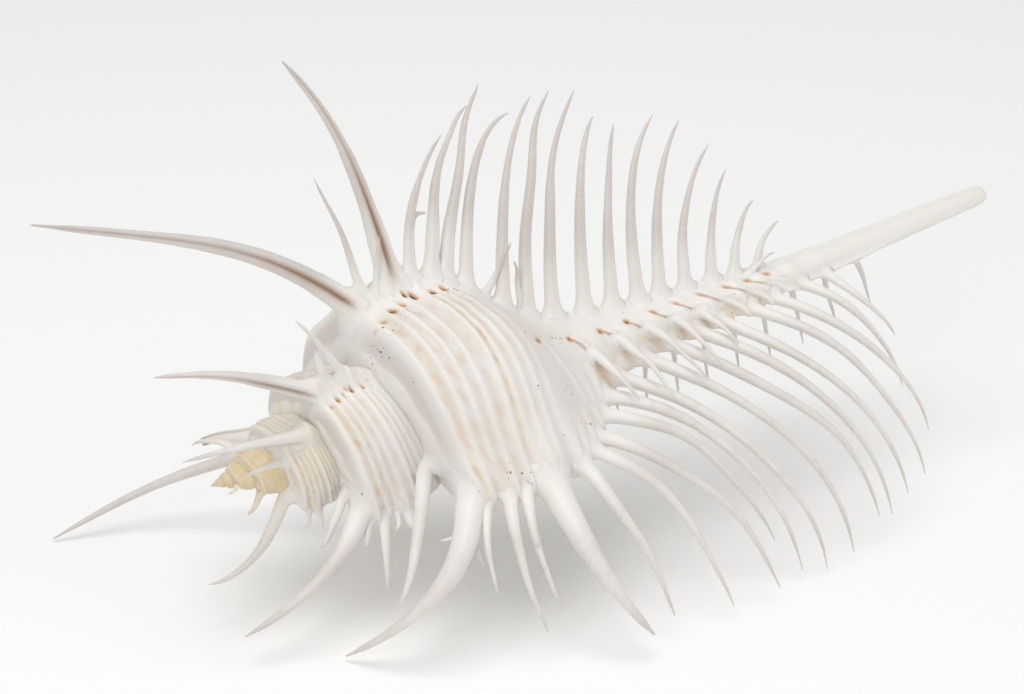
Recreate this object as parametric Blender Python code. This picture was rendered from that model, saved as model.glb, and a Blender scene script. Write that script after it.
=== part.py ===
"""Venus comb murex shell, lying on its spine tips with the aperture side down.

One solid: a spiral body with a long straight canal, and three combs of spines
grown on it. Lengths are in millimetres here and turned into metres at the end.

The shell is first made about its own axis: x runs from the apex to the end of
the canal, r is the distance from that axis, and an angle of 0 faces -Y, with
90 facing +Z. The whorls grow from higher to lower angles.
"""
import math

import bmesh
import bpy
import numpy as np
from mathutils import Matrix, Vector

MM = 0.001

# Growth of the whorls
WHORL_GROWTH = 1.70          # size of a whorl against the one before it
LIP_ANGLE = -46.0            # where the outer lip stands, the last growth stage
CANAL_END = 133.0
SPIRE_WHORLS = 7

# Outer profile of the last whorl at the lip: x and r, from the suture,
# over the shoulder and the base, to the end of the canal
LIP_PROFILE = [
    (28.2, 10.9), (29.8, 14.6), (32.6, 18.0), (37.0, 19.2), (43.0, 19.3), (48.0, 18.5),
    (51.5, 16.4), (54.5, 13.2), (57.5, 9.8), (61.0, 7.2), (67.0, 5.3), (76.0, 4.0),
    (90.0, 3.1), (110.0, 2.3), (128.0, 1.8), (133.0, 1.5),
]
CANAL_FADE = (50.0, 100.0)   # x over which growth stops changing the profile
CANAL_SAG = 1.0              # how far the canal bows to -Z between its ends

# Varices, the old thickened lips: growth in degrees back from the lip
BODY_VARICES = {"lip": 0.0, "upper": 116.0, "rear": 230.0}
SPIRE_VARIX_START = 228.0
SPIRE_VARIX_STEP = 111.0
SPIRE_VARICES = 8
VARIX_RISE = 0.12            # part of r
VARIX_BACK, VARIX_FRONT = 16.0, 9.0   # spread in degrees, either side of the crest

# The whorls are fuller on the rear side, where each rides up over the one before
REAR_SWELL = 0.15            # part of r
REAR_RIDE = 2.6              # how far the shoulder moves toward the apex
REAR_SWELL_AT, REAR_SWELL_SPREAD = 172.0, 46.0   # growth back from the lip

# Mesh fineness
ANGLE_STEPS = 36
SPINE_SIDES = 6
SPINE_RINGS = 6
MOUTH_RINGS = 6
MOUTH_SIDES = 10

FOOT_SUNK = 1.2              # a spine's foot starts this far inside the crest
FLARE_LENGTH = 2.2           # over which the foot's flare dies out

# Spines: foot x, middle (x, r, turn), tip (x, r, turn), width at the foot. A turn is in
# degrees about the axis from the varix, below 0 in the direction of growth.
UPPER_SPINES = [
    (27.5, (12.5, 30.5, -3), (-16.5, 46.0, -8), 4.8), (29.0, (27.5, 28.5, -1), (25.0, 38.0, -4), 1.5),
    (31.0, (32.0, 23.5, -3), (31.5, 28.0, -10), 1.4), (33.5, (31.5, 38.0, 0), (25.5, 54.5, 0), 4.4),
    (36.5, (39.5, 30.0, -2), (44.5, 38.5, -6), 2.2), (39.5, (45.0, 33.0, 0), (51.0, 40.0, 0), 2.6),
    (41.5, (48.0, 33.0, 0), (53.5, 42.5, 0), 2.6), (44.5, (50.0, 31.0, 0), (56.5, 37.5, -2), 2.4),
    (46.5, (50.0, 16.0, -3), (51.5, 20.0, -10), 1.2), (49.5, (54.5, 28.0, 0), (61.0, 38.5, 0), 2.6),
    (52.0, (52.5, 13.0, -3), (51.5, 17.0, -10), 1.2), (53.0, (58.0, 27.0, 0), (64.0, 38.5, 0), 2.6),
    (57.0, (61.0, 25.0, 0), (68.0, 37.5, 0), 2.6), (62.0, (65.5, 23.0, 0), (70.0, 33.0, 0), 2.6),
    (66.5, (69.5, 20.0, 0), (73.0, 31.0, 0), 2.5), (71.0, (73.5, 20.5, 0), (79.5, 30.5, 0), 2.5),
    (74.5, (78.0, 19.0, 0), (83.5, 28.5, 0), 2.4), (79.0, (81.5, 15.0, 0), (87.5, 23.5, 0), 2.3),
    (83.5, (85.5, 12.0, 0), (89.5, 19.0, 0), 2.1), (87.5, (89.5, 9.0, 0), (93.0, 13.0, 0), 1.9),
    (91.5, (93.0, 6.0, 0), (96.5, 8.5, 0), 1.6),
]
LIP_SPINES = [
    (29.0, (20.0, 23.5, -4), (14.0, 29.5, -12), 2.8), (31.5, (20.5, 29.5, -9), (8.0, 29.3, -33), 5.4),
    (32.5, (28.5, 25.0, -4), (28.5, 28.5, -12), 1.6), (33.5, (29.0, 28.0, -5), (28.5, 33.0, -14), 1.8),
    (36.5, (32.5, 31.0, -6), (32.5, 40.0, -16), 2.4), (39.0, (35.5, 31.0, -6), (36.0, 38.0, -16), 2.2),
    (42.5, (41.5, 35.5, -6), (46.0, 46.5, -16), 5.6), (47.5, (49.5, 33.0, -7), (51.5, 44.0, -20), 2.8),
    (49.5, (57.0, 31.0, -8), (61.0, 45.5, -22), 2.7), (51.5, (63.0, 30.0, -8), (69.5, 45.0, -24), 2.7),
    (54.5, (66.0, 24.5, -8), (72.5, 38.0, -24), 2.6), (57.0, (70.5, 25.5, -10), (75.5, 43.0, -28), 2.6),
    (60.5, (74.5, 27.0, -10), (79.5, 44.0, -29), 2.6), (66.0, (79.5, 26.5, -10), (85.0, 43.0, -30), 2.6),
    (71.0, (85.0, 24.5, -10), (91.5, 39.5, -30), 2.5), (76.0, (88.5, 23.5, -10), (93.5, 40.0, -30), 2.5),
    (80.5, (92.0, 23.0, -10), (97.5, 38.0, -30), 2.4), (86.0, (96.5, 21.0, -10), (101.5, 36.5, -30), 2.3),
    (90.5, (100.5, 18.5, -10), (105.5, 30.5, -30), 2.2), (96.0, (102.0, 13.0, -9), (104.5, 23.0, -28), 2.0),
    (101.0, (104.0, 10.5, -8), (107.0, 15.5, -24), 1.7),
]
REAR_SPINES = [
    (29.5, (11.0, 28.0, -10), (-15.0, 37.5, -5), 5.0), (34.0, (31.0, 24.0, 4), (30.0, 29.0, 12), 2.2),
    (38.5, (38.0, 27.0, 4), (38.5, 33.0, 12), 3.0), (43.5, (46.0, 25.0, 4), (48.5, 32.0, 12), 2.4),
    (48.5, (53.0, 21.0, 4), (56.5, 33.0, 12), 2.4), (53.0, (57.5, 20.0, 5), (62.0, 35.0, 14), 2.4),
]
REAR_COMB_FEET = (58.0, 108.0)
REAR_COMB_COUNT = 11
SPIRE_SPINES = {
    # growth back from the lip: spines as above
    450.0: [(17.0, (5.0, 18.0, 2), (-6.0, 21.5, 6), 3.2), (19.0, (18.0, 14.5, 2), (18.0, 16.5, 6), 1.5),
            (22.0, (19.0, 16.5, 6), (17.0, 20.0, 16), 1.6)],
    339.0: [(18.0, (13.0, 12.5, -3), (11.0, 14.0, -8), 1.7), (19.0, (9.5, 18.0, -4), (-4.0, 21.5, -13), 4.2),
            (20.0, (17.5, 15.0, -3), (17.0, 16.5, -8), 1.6), (21.5, (18.5, 19.0, -3), (17.0, 23.5, -8), 1.8),
            (24.5, (25.0, 15.5, -3), (26.0, 18.5, -8), 2.4)],
    561.0: [(15.0, (8.0, 13.5, 0), (1.0, 15.5, 0), 3.0)],
    783.0: [(14.0, (5.0, 10.5, 1), (-6.0, 13.0, 3), 2.0)],
    672.0: [(11.0, (2.5, 11.5, -2), (-4.5, 13.0, -6), 2.4)],
    894.0: [(7.0, (4.5, 7.0, 0), (1.0, 8.0, 0), 1.8)],
}

# The mouth, on the aperture side: it narrows inward, and toward the canal it
# closes in on the axis
MOUTH_X = (31.5, 56.0)
MOUTH_R = (6.4, 17.7)
MOUTH_CLOSE = 3.2
MOUTH_NARROWS = 0.45
MOUTH_DEPTH = 95.0           # degrees back into the whorl
MOUTH_START = -6.0           # degrees ahead of the lip

# How the shell comes to lie: first rolled about its axis, then tipped end to end
REST_ROLL = -31.3
REST_PITCH = -7.4


def smooth_step(a, b, value):
    t = np.clip((value - a) / (b - a), 0.0, 1.0)
    return t * t * (3.0 - 2.0 * t)


def varix_places():
    """Growth back from the lip of every varix, youngest first."""
    places = list(BODY_VARICES.values())
    for step in range(1, SPIRE_VARICES + 1):
        places.append(SPIRE_VARIX_START + step * SPIRE_VARIX_STEP)
    return places


def whorl_radius(x, back):
    """Distance of the surface from the axis at x, `back` degrees before the lip."""
    growth = WHORL_GROWTH ** (-back / 360.0)
    px, pr = zip(*LIP_PROFILE)
    if back <= 360.0:
        # the canal keeps its length while the whorl above it shrinks
        scale = growth
        for _ in range(12):
            fade = np.clip((CANAL_FADE[1] - x / scale) / (CANAL_FADE[1] - CANAL_FADE[0]), 0.0, 1.0)
            scale = 1.0 + (growth - 1.0) * fade
    else:
        scale = growth
    swell = 0.0
    for turn in range(4):
        off = back - REAR_SWELL_AT - turn * 3.0 * SPIRE_VARIX_STEP
        swell += math.exp(-(off / REAR_SWELL_SPREAD) ** 2)
    swell *= float(1.0 - smooth_step(38.0, 56.0, x / scale))
    at_lip = (x + REAR_RIDE * growth * swell) / scale
    if at_lip < px[0] or at_lip > px[-1]:
        return 0.0
    radius = float(np.interp(at_lip, px, pr)) * scale * (1.0 + REAR_SWELL * swell)
    for crest in varix_places():
        ahead = crest - back
        spread = VARIX_FRONT if ahead > 0 else VARIX_BACK
        if back <= 360.0 or crest > 300.0:
            radius *= 1.0 + VARIX_RISE * math.exp(-(ahead / spread) ** 2)
    return radius


def surface_radius(x, angle):
    """Outermost whorl at x and angle."""
    back = (angle - LIP_ANGLE) % 360.0
    radii = [whorl_radius(x, back + 360.0 * turn) for turn in range(SPIRE_WHORLS)]
    return max(radii)


def canal_sag(x):
    return -CANAL_SAG * (smooth_step(50.0, 90.0, x) - 0.8 * smooth_step(95.0, CANAL_END, x))


def place(x, radius, angle):
    """A point about the shell's axis, in millimetres."""
    a = math.radians(angle)
    return Vector((x, -radius * math.cos(a), radius * math.sin(a) + canal_sag(x)))


def new_object(name, bm):
    bmesh.ops.recalc_face_normals(bm, faces=bm.faces)
    mesh = bpy.data.meshes.new(name)
    bm.to_mesh(mesh)
    bm.free()
    obj = bpy.data.objects.new(name, mesh)
    bpy.context.scene.collection.objects.link(obj)
    return obj


def skin(bm, rings, start=None, end=None):
    """Join rings of vertices side by side, and close the ends with a point each."""
    for a, b in zip(rings[:-1], rings[1:]):
        count = len(a)
        for i in range(count):
            j = (i + 1) % count
            bm.faces.new((a[i], a[j], b[j], b[i]))
    for ring, point in ((rings[0], start), (rings[-1], end)):
        if point is None:
            bm.faces.new(ring)
            continue
        tip = bm.verts.new(point)
        for i in range(len(ring)):
            bm.faces.new((ring[i], ring[(i + 1) % len(ring)], tip))


def body_stations():
    """Where the rings of the body stand along the axis."""
    spire = [0.9 + 27.0 * (i / 20.0) ** 1.25 for i in range(21)]
    body = [29.3 + 1.75 * i for i in range(18)]
    canal = list(np.linspace(61.5, CANAL_END - 1.5, 13))
    return spire + body + canal


def make_body():
    bm = bmesh.new()
    step = 360.0 / ANGLE_STEPS
    angles = [LIP_ANGLE + 0.01 + step * i for i in range(ANGLE_STEPS)]
    angles.append(LIP_ANGLE + 360.0 - 1.5)
    rings = []
    for x in body_stations():
        ring = []
        for angle in angles:
            radius = max(surface_radius(x, angle), 0.55 * min(x, 1.0))
            ring.append(bm.verts.new(place(x, radius, angle)))
        rings.append(ring)
    skin(bm, rings, start=(0.0, 0.0, 0.0), end=place(CANAL_END, 0.0, 0.0))
    return new_object("murex_shell", bm)


def curve_point(points, t):
    """A parabola through three points, at t from 0 to 1."""
    a, b, c = points
    return a * (2 * t - 1) * (t - 1) + b * 4 * t * (1 - t) + c * t * (2 * t - 1)


def make_spine(name, points, width):
    """A tapered horn that flares where it grows from the shell."""
    length = (points[1] - points[0]).length + (points[2] - points[1]).length
    bm = bmesh.new()
    loops = []
    side_axis = None
    for k in range(SPINE_RINGS):
        t = (k / (SPINE_RINGS - 0.4)) ** 1.15
        centre = curve_point(points, t)
        along = (curve_point(points, t + 0.01) - centre).normalized()
        if side_axis is None:
            side_axis = along.orthogonal().normalized()
        side_axis = (side_axis - along * side_axis.dot(along)).normalized()
        other = along.cross(side_axis)
        flare = 0.5 * width * math.exp(-t * length / FLARE_LENGTH)
        half = 0.5 * width * (0.22 + 0.78 * (1.0 - t) ** 0.8) + flare
        loop = []
        for i in range(SPINE_SIDES):
            a = 2 * math.pi * i / SPINE_SIDES
            loop.append(bm.verts.new(centre + (side_axis * math.cos(a) + other * math.sin(a)) * half))
        loops.append(loop)
    skin(bm, loops, end=points[2])
    return new_object(name, bm)


def make_row(name, back, spines):
    """The spines of one varix, their feet sunk in its crest."""
    made = []
    for number, (foot_x, middle, tip, width) in enumerate(spines):
        angle = LIP_ANGLE + back
        angle -= 360.0 * round((angle - 70.0) / 360.0)
        foot_r = max(surface_radius(foot_x, angle + 0.2) - FOOT_SUNK, 0.6)
        points = (place(foot_x, foot_r, angle),
                  place(middle[0], middle[1], angle + middle[2]),
                  place(tip[0], tip[1], angle + tip[2]))
        made.append(make_spine(f"{name}_{number}", points, width))
    return made


def rear_comb():
    """The rear comb along the canal: an even row, shorter toward its end."""
    spines = []
    for x in np.linspace(*REAR_COMB_FEET, REAR_COMB_COUNT):
        part = (x - REAR_COMB_FEET[0]) / (REAR_COMB_FEET[1] - REAR_COMB_FEET[0])
        reach = 38.5 - 14.0 * part ** 3
        lean = 9.0 + 3.0 * part
        turn = 14.0 + 6.0 * part
        spines.append((x, (x + 0.6 * lean, 0.55 * reach, 0.35 * turn), (x + lean, reach, turn), 2.1))
    return spines


def make_mouth():
    """Cutter for the aperture: an oval horn that runs back inside the last whorl."""
    bm = bmesh.new()
    loops = []
    for k in range(MOUTH_RINGS + 1):
        part = k / MOUTH_RINGS
        back = MOUTH_START + (MOUTH_DEPTH - MOUTH_START) * part
        growth = WHORL_GROWTH ** (-max(back, 0.0) / 360.0)
        shrink = 1.0 - MOUTH_NARROWS * part ** 2
        mid_x = 0.5 * sum(MOUTH_X) * growth
        mid_r = 0.5 * sum(MOUTH_R) * growth
        half_x = 0.5 * (MOUTH_X[1] - MOUTH_X[0]) * growth * shrink
        half_r = 0.5 * (MOUTH_R[1] - MOUTH_R[0]) * growth * shrink
        loop = []
        for i in range(MOUTH_SIDES):
            a = 2 * math.pi * i / MOUTH_SIDES
            x = mid_x + half_x * math.cos(a)
            radius = mid_r + half_r * math.sin(a)
            radius -= MOUTH_CLOSE * max(math.cos(a), 0.0) ** 2
            loop.append(bm.verts.new(place(x, radius, LIP_ANGLE + back)))
        loops.append(loop)
    skin(bm, loops)
    return new_object("mouth_cutter", bm)


def join_solids(target, solids):
    """Grow the solids together into one closed skin."""
    for solid in solids:
        union = target.modifiers.new(solid.name, "BOOLEAN")
        union.operation = "UNION"
        union.solver = "EXACT"
        union.object = solid
        solid.hide_render = True
        solid.display_type = "WIRE"
    depsgraph = bpy.context.evaluated_depsgraph_get()
    mesh = bpy.data.meshes.new_from_object(target.evaluated_get(depsgraph))
    target.modifiers.clear()
    target.data = mesh
    for solid in solids:
        bpy.data.objects.remove(solid)


def cut(target, cutter):
    """Take the cutter's shape out of the target."""
    difference = target.modifiers.new(cutter.name, "BOOLEAN")
    difference.operation = "DIFFERENCE"
    difference.solver = "EXACT"
    difference.object = cutter
    depsgraph = bpy.context.evaluated_depsgraph_get()
    mesh = bpy.data.meshes.new_from_object(target.evaluated_get(depsgraph))
    target.modifiers.clear()
    target.data = mesh
    bpy.data.objects.remove(cutter)


def lay_down(obj):
    """Put the shell how it lies, its box standing on the origin."""
    holder = bpy.data.objects.new("shell_axis", None)
    bpy.context.scene.collection.objects.link(holder)
    turn = Matrix.Rotation(math.radians(REST_PITCH), 4, "Y")
    turn @= Matrix.Rotation(math.radians(REST_ROLL), 4, "X")
    obj.data.transform(Matrix.Scale(MM, 4))
    coords = np.array([turn @ v.co for v in obj.data.vertices])
    low, high = coords.min(axis=0), coords.max(axis=0)
    centre = 0.5 * (low + high)
    holder.matrix_world = Matrix.Translation((-centre[0], -centre[1], -low[2])) @ turn
    obj.parent = holder


def shell_material():
    material = bpy.data.materials.new("shell_cream")
    material.use_nodes = True
    shader = material.node_tree.nodes["Principled BSDF"]
    shader.inputs["Base Color"].default_value = (0.80, 0.76, 0.71, 1.0)
    shader.inputs["Roughness"].default_value = 0.45
    shader.inputs["Metallic"].default_value = 0.0
    return material


def main():
    for obj in list(bpy.data.objects):
        bpy.data.objects.remove(obj)
    body = make_body()
    spines = make_row("upper", BODY_VARICES["upper"], UPPER_SPINES)
    spines += make_row("lip", BODY_VARICES["lip"], LIP_SPINES)
    spines += make_row("rear", BODY_VARICES["rear"], REAR_SPINES + rear_comb())
    for back, row in SPIRE_SPINES.items():
        spines += make_row(f"spire_{int(back)}", back, row)
    cut(body, make_mouth())
    join_solids(body, spines)
    lay_down(body)
    body.data.materials.clear()
    body.data.materials.append(shell_material())
    body.data.shade_smooth()
    body.data.set_sharp_from_angle(angle=math.radians(40.0))


main()
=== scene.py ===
"""Venus comb murex shell, lying on its spine tips.

The shell is modelled about its own axis, in millimetres: x runs from the apex to
the end of the canal, r is the distance from that axis, and an angle of 0 faces
the viewer, with 90 facing up. The whorls grow from higher to lower angles, and
"back" is how many degrees of growth lie between a place and the outer lip. A
place on a whorl is also named by its x on the profile at the lip, "at_lip".
The marks on a mesh are values between 0 and 1 that its material reads.
"""
import math

import bpy
import numpy as np
from mathutils import Matrix, Vector


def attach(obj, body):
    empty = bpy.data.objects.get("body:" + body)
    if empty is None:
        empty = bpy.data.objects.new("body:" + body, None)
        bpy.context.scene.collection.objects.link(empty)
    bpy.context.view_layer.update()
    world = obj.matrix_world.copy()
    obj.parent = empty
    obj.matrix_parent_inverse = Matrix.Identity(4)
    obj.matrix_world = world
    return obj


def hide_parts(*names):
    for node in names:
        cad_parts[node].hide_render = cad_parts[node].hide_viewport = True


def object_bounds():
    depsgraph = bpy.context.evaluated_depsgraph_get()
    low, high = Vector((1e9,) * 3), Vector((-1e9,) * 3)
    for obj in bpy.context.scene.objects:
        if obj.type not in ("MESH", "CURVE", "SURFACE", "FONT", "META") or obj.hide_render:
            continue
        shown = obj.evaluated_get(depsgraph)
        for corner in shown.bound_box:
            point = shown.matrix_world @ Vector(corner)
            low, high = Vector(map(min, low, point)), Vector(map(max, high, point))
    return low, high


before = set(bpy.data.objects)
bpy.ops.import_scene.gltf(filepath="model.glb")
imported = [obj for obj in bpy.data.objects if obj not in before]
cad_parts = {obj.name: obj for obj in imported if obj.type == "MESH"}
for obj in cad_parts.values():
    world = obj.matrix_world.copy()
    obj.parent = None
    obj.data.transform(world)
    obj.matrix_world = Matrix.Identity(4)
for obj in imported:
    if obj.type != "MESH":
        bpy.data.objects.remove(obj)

CAD_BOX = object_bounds()
MM = 0.001
TURN = 2 * math.pi

# How the shell lies: rolled about its axis, tipped end to end, apex at this place
REST_ROLL = -31.3
REST_PITCH = -7.4
APEX_AT = (-0.05482, 0.00380, 0.02069)

# Growth, and the profile at the lip: x and r, from the suture to the canal's end
WHORL_GROWTH = 1.70
LIP_ANGLE = -46.0
CANAL_END = 133.0
LIP_PROFILE = [
    (28, 7.2), (29.2, 10.2), (30, 13.6), (31.1, 16.6), (32.8, 18.1), (37, 19.2), (43, 19.3),
    (48, 18.5), (51.5, 16.4), (54.5, 13.2), (57.5, 9.8), (61, 7.2), (67, 5.3), (76, 4),
    (90, 3.1), (110, 2.3), (128, 1.8), (132.6, 1.5), (133.3, 0.8), (133.5, 0.05),
]
CANAL_FADE = (50, 100)  # over which growth stops changing the profile
CANAL_BEGINS = (54, 66)
CANAL_SLIMS = (86, 95)
CANAL_SLIMMER = 0.11  # past the combs, against the solid
CANAL_SAG = 1.0  # how far the canal bows down between its ends
SAG_DOWN, SAG_UP, SAG_RECOVERS = (50, 90), (95, CANAL_END), 0.8
SOLVE_ROUNDS = 12

# The first whorls: a flatter shoulder (place at the lip, radius) and worn cords
YOUNG_X = (28, 29.2, 31, 33, 36, 40, 44)
YOUNG_R = (9.4, 11.3, 13.2, 15, 16.9, 18.5, 19.3)
YOUNG_PART, YOUNG_BACK = 0.85, (760, 1080)
WORN, WORN_BACK = 0.6, (800, 960)

# Varices, the old lips, with the low fin between their spines and their smooth front
CRESTS = (0.0, 116.0, 230.0)
CREST_STEP = 111.0
SPIRE_CRESTS = tuple(228.0 + CREST_STEP * step for step in range(1, 14))
VARIX_RISE = 0.12
VARIX_BACK, VARIX_FRONT = 16.0, 9.0
FIN_BACK, FIN_FRONT = 6.0, 2.6
FIN_ON_BODY, FIN_ON_CANAL = 0.5, 0.35
FIN_END, UPPER_FIN_END, FIN_FADE = 108.0, 88.0, 8.0
SMOOTH_AHEAD, SMOOTH_SPREAD, SMOOTHED = 9.0, 8.0, 0.75

# The rear of each whorl is fuller and rides up over the one before
REAR_SWELL, REAR_RIDE = 0.15, 2.6
REAR_SWELL_AT, REAR_SWELL_SPREAD = 172.0, 46.0
REAR_TURN = 3 * CREST_STEP
REAR_FADES = (38, 56)

# The lip reaches past its crest, is scalloped, and turns in to the throat
LIP_REACH = -18.0
LIP_EDGE_DEPTH = 14.0
SCALLOPS, SCALLOP_LENGTH = 1.6, 4.6
RUFFLES, RUFFLE_LENGTH = 0.8, 2.1
SCALLOPED = (29, 31, 60, 70)
WALL, WALL_PART = 1.2, 0.36  # thickness, and its most against r
THROAT_DEPTH = 150.0
THROAT_TAPER, TAPER_STARTS = 0.35, 20.0
WHORL_MIDDLE, THROAT_BASE = 41.0, 58.0
LIP_FOLDS, LIP_FOLD_LENGTH = 0.28, 2.3
LIP_FOLDED = (33, 36, 52, 56)
EDGE_BACK = (-0.2, -0.5, -0.2)  # growth and thickness round the edge
EDGE_WALL = (0.15, 0.5, 0.85)
WALL_BACK = (0.6, 2, 5, 9, 14, 20)

# The end of the turn sinks under the lip, so the canal is a fold with a slit
SLIT_FROM, SLIT_TO, SLIT_SINK = (318, 338), (350, 372), 0.34

# Spiral cords. The strong ones: place, place at the lip, degrees back until they settle
SHOULDER_CORD, MAIN_CORD = (32.6, 31.1, 84), (43.1, 39.2, 74)
SMALL_CORDS = (0.27, 0.49, 0.72)  # places between the two strong cords
LOW_CORDS = (1.8, 3.8, 5.8, 7.8)  # distance past the main cord
STRONG, WEAK = 0.80, 0.42
SHOULDER_HALF, MAIN_HALF, WEAK_HALF = 0.75, 0.7, 0.5
# The wavy edge of the ramp, along the suture, and the groove beside it
RIM, RIM_HALF = 29.75, 0.36

# Unevenness of the skin: height, size of the waves, seed
DENTS = (0.10, 7, 3)
GRAIN = (0.035, 1.9, 5)
LINES, LINES_STRETCH, LINES_END = (0.035, 1.5, 7), 0.12, (95, 110)
FULL_RELIEF_R = 6.0
WAVES = 9

# Small pits in a row ahead of the upper varix: place at the lip, growth back, strength
BODY_PITS = [(31.9, 97, 0.35), (34, 99, 0.6), (36.5, 102, 1), (38.7, 103.5, 0.7),
             (41.4, 106, 1), (40.2, 107.5, 0.7), (44.7, 105, 0.85), (46.9, 106, 0.9),
             (48.3, 92, 0.3)]
PIT_SIZE = (0.26, 0.26)  # of the faintest, and more with its strength
PIT_LONG, PIT_SLANT = 1.1, 0.3
SPIRE_PIT = 0.8  # the same row one turn earlier
BODY_ARC, SPIRE_ARC = 0.32, 0.20  # mm to a degree of growth
PIT_DEPTH, RIB_HEIGHT = 0.9, 0.6

# The canal's pits climb along it, and the later ones are drawn out into streaks
CANAL_PITS = (48.7, 56.1, 61.9, 66.8, 71.7, 76.1, 80.7, 85.2, 88.9, 92.4)
CANAL_PIT_ANGLE = 12.0
PIT_CLIMB, PITS_CLIMB = 15.0, (60, 82)
PITS_DRAWN_OUT, DRAWN_OUT = (62, 76), 0.5
STREAK_SLANT, STREAK_LEVELS, STREAKS_LEVEL = 0.8, 0.6, (80, 90)
CANAL_PIT_LONG, CANAL_PIT_WIDE, CANAL_PIT_STRENGTH = (0.55, 0.20), (0.6, -0.2), (0.62, -0.15)
# Ribs slant down the canal from the pits: distance past the pit, half width, height
RIB_LEAN = 0.075  # along the canal in a degree
RIBS = [(1.15, 0.6, 1), (3.2, 1.3, 0.5)]
RIBBED_ANGLES, RIBBED_X = (-60, -44, 4, 16), (47, 52, 90, 100)

# The skin swells into a spine's foot: a first part, and more with its width
HILL_HALF, HILL_SLOPE, HILL_HEIGHT = (0.25, 0.34), (0.55, 0.22), (0.12, 0.39)
HILL_OLD_SIDE, HILL_YOUNG_SIDE = 3.3, 1.2

# Spines: foot x, middle (x, r, turn), tip (x, r, turn), width at the foot. A turn is in
# degrees about the axis from the varix, below 0 in the direction of growth.
UPPER_SPINES = [
    (27.5, (12.5, 30.5, -3), (-16.5, 46, -8), 4.8), (29, (27.5, 28.5, -1), (25, 38, -4), 1.5),
    (31, (32, 23.5, -3), (31.5, 28, -10), 1.4), (33.5, (31.5, 38, 0), (25.5, 54.5, 0), 4.4),
    (36.5, (39.5, 30, -2), (44.5, 38.5, -6), 2.2), (39.5, (45, 33, 0), (51, 40, 0), 2.6),
    (41.5, (48, 33, 0), (53.5, 42.5, 0), 2.6), (44.5, (50, 31, 0), (56.5, 37.5, -2), 2.4),
    (46.5, (50, 16, -3), (51.5, 20, -10), 1.2), (49.5, (54.5, 28, 0), (61, 38.5, 0), 2.6),
    (52, (52.5, 13, -3), (51.5, 17, -10), 1.2), (53, (58, 27, 0), (64, 38.5, 0), 2.6),
    (57, (61, 25, 0), (68, 37.5, 0), 2.6), (62, (65.5, 23, 0), (70, 33, 0), 2.6),
    (66.5, (69.5, 20, 0), (73, 31, 0), 2.5), (71, (73.5, 20.5, 0), (79.5, 30.5, 0), 2.5),
    (74.5, (78, 19, 0), (83.5, 28.5, 0), 2.4), (79, (81.5, 15, 0), (87.5, 23.5, 0), 2.3),
    (83.5, (85.5, 12, 0), (89.5, 19, 0), 2.1), (87.5, (89.5, 9, 0), (93, 13, 0), 1.9),
    (91.5, (93, 6, 0), (96.5, 8.5, 0), 1.6),
]
LIP_SPINES = [
    (29, (20, 23.5, -4), (14, 29.5, -12), 2.8), (31.5, (20.5, 29.5, -9), (8, 29.3, -33), 5.4),
    (32.5, (28.5, 25, -4), (28.5, 28.5, -12), 1.6), (33.5, (29, 28, -5), (28.5, 33, -14), 1.8),
    (36.5, (32.5, 31, -6), (32.5, 40, -16), 2.4), (39, (35.5, 31, -6), (36, 38, -16), 2.2),
    (42.5, (41.5, 35.5, -6), (46, 46.5, -16), 5.6), (47.5, (49.5, 33, -7), (51.5, 44, -20), 2.8),
    (49.5, (57, 31, -8), (61, 45.5, -22), 2.7), (51.5, (63, 30, -8), (69.5, 45, -24), 2.7),
    (54.5, (66, 24.5, -8), (72.5, 38, -24), 2.6), (57, (70.5, 25.5, -10), (75.5, 43, -28), 2.6),
    (60.5, (74.5, 27, -10), (79.5, 44, -29), 2.6), (66, (79.5, 26.5, -10), (85, 43, -30), 2.6),
    (71, (85, 24.5, -10), (91.5, 39.5, -30), 2.5), (76, (88.5, 23.5, -10), (93.5, 40, -30), 2.5),
    (80.5, (92, 23, -10), (97.5, 38, -30), 2.4), (86, (96.5, 21, -10), (101.5, 36.5, -30), 2.3),
    (90.5, (100.5, 18.5, -10), (105.5, 30.5, -30), 2.2), (96, (102, 13, -9), (104.5, 23, -28), 2),
    (101, (104, 10.5, -8), (107, 15.5, -24), 1.7),
]
REAR_SPINES = [
    (29.5, (11, 28, -10), (-15, 37.5, -5), 5), (34, (31, 24, 4), (30, 29, 12), 2.2),
    (38.5, (38, 27, 4), (38.5, 33, 12), 3), (43.5, (46, 25, 4), (48.5, 32, 12), 2.4),
    (48.5, (53, 21, 4), (56.5, 33, 12), 2.4), (53, (57.5, 20, 5), (62, 35, 14), 2.4),
]
# The rest of the rear comb: each value at its start, and the change
COMB_FEET = (58, 108)
COMB_COUNT = 11
COMB_REACH, COMB_LEAN, COMB_TURN = (38.5, -14), (9, 3), (14, 6)
COMB_BEND, COMB_WIDTH = (0.6, 0.55, 0.35), 2.1
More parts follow.
